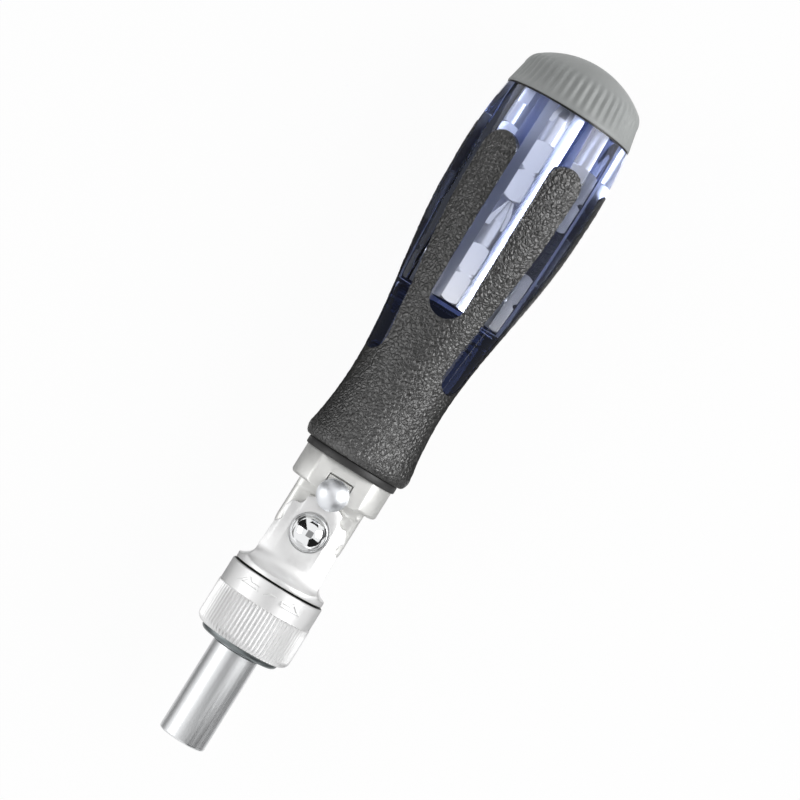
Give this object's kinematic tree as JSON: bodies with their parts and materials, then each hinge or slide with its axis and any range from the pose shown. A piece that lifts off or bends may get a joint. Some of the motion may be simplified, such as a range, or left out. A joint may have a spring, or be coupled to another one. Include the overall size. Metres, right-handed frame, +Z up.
{
  "type": "ratcheting screwdriver",
  "caption": "Ratcheting screwdriver with a swivelling lockable head, a knurled direction ring and hex bits stored in a clear handle with a rubber grip and a domed pull-off cap.",
  "frame": {"origin": "centre of the bit socket's mouth, on the tool's axis", "axes": "+X along the tool towards the tip, +Z up along the swivel pin through its domed head, the tool lying on its back"},
  "size_m": [0.17, 0.0328, 0.0324],
  "materials": {
    "satin_steel": "satin plated steel",
    "magnet_grey": "nickel plated magnet",
    "dark_steel": "dark oxide",
    "ring_silver": "satin plated casting",
    "spring_steel": "bright wire",
    "chrome": "mirror chrome",
    "satin_chrome": "satin chrome",
    "cast_silver": "pearl plated casting",
    "brass": "plain",
    "black_plastic": "smooth moulded",
    "clear_blue": "clear blue tinted",
    "black_rubber": "leather grain",
    "bit_steel": "bright satin",
    "grey_plastic": "fine matte"
  },
  "bodies": {
    "handle": {"ferrule": "cast_silver", "lock_spring": "spring_steel", "grip_collar": "black_plastic", "handle_core": "clear_blue", "rubber_grip": "black_rubber", "phillips_bits": "bit_steel", "slotted_bits": "bit_steel", "star_bits": "bit_steel", "hex_bits": "bit_steel", "cap_gasket": "black_plastic"},
    "head": {"head_yoke": "cast_silver", "pivot_pin": "chrome", "pivot_end_cap": "chrome", "pivot_washers": "brass", "pawl_pins": "satin_steel", "pawl_springs": "spring_steel", "nose_plate": "dark_steel", "detent_ball": "chrome", "detent_spring": "spring_steel"},
    "selector": {"selector_ring": "ring_silver"},
    "left_pawl": {"pawl_left": "satin_steel"},
    "right_pawl": {"pawl_right": "satin_steel"},
    "spindle": {"bit_holder": "satin_steel", "bit_magnet": "magnet_grey", "spindle_shaft": "satin_steel", "ratchet_gear": "satin_steel"},
    "lock": {"lock_slider": "cast_silver", "lock_button": "satin_chrome"},
    "cap": {"end_cap": "grey_plastic"}
  },
  "joints": [
    {"name": "head_swivel", "type": "hinge", "parent": "handle", "child": "head", "pos_m": [-0.0525, 0, 0], "axis": [0, 0, 1], "range_deg": [-90, 90]},
    {"name": "spindle_turn", "type": "hinge", "parent": "head", "child": "spindle", "pos_m": [-0.03, 0, 0], "axis": [-1, 0, 0], "continuous": true},
    {"name": "selector_turn", "type": "hinge", "parent": "head", "child": "selector", "pos_m": [-0.0325, 0, 0], "axis": [-1, 0, 0], "range_deg": [-15, 15]},
    {"name": "left_pawl_rock", "type": "hinge", "parent": "head", "child": "left_pawl", "pos_m": [-0.029, -0.00647, -0.00453], "axis": [-1, 0, 0], "range_deg": [-5.4, 5.4]},
    {"name": "right_pawl_rock", "type": "hinge", "parent": "head", "child": "right_pawl", "pos_m": [-0.029, 0.00647, -0.00453], "axis": [-1, 0, 0], "range_deg": [-5.4, 5.4]},
    {"name": "lock_slide", "type": "slide", "parent": "handle", "child": "lock", "axis": [1, 0, 0], "range_m": [-0.0003, 0.0011], "stiffness_N_per_m": 250, "springref_m": 0.0011, "deforming": ["lock_spring"]},
    {"name": "cap_pull", "type": "slide", "parent": "handle", "child": "cap", "axis": [-1, 0, 0], "range_m": [0, 0.025]}
  ],
  "couplings": [
    {"joint": "left_pawl_rock", "follows": "selector_turn", "ratio": 0.35333},
    {"joint": "right_pawl_rock", "follows": "selector_turn", "ratio": 0.35333}
  ]
}
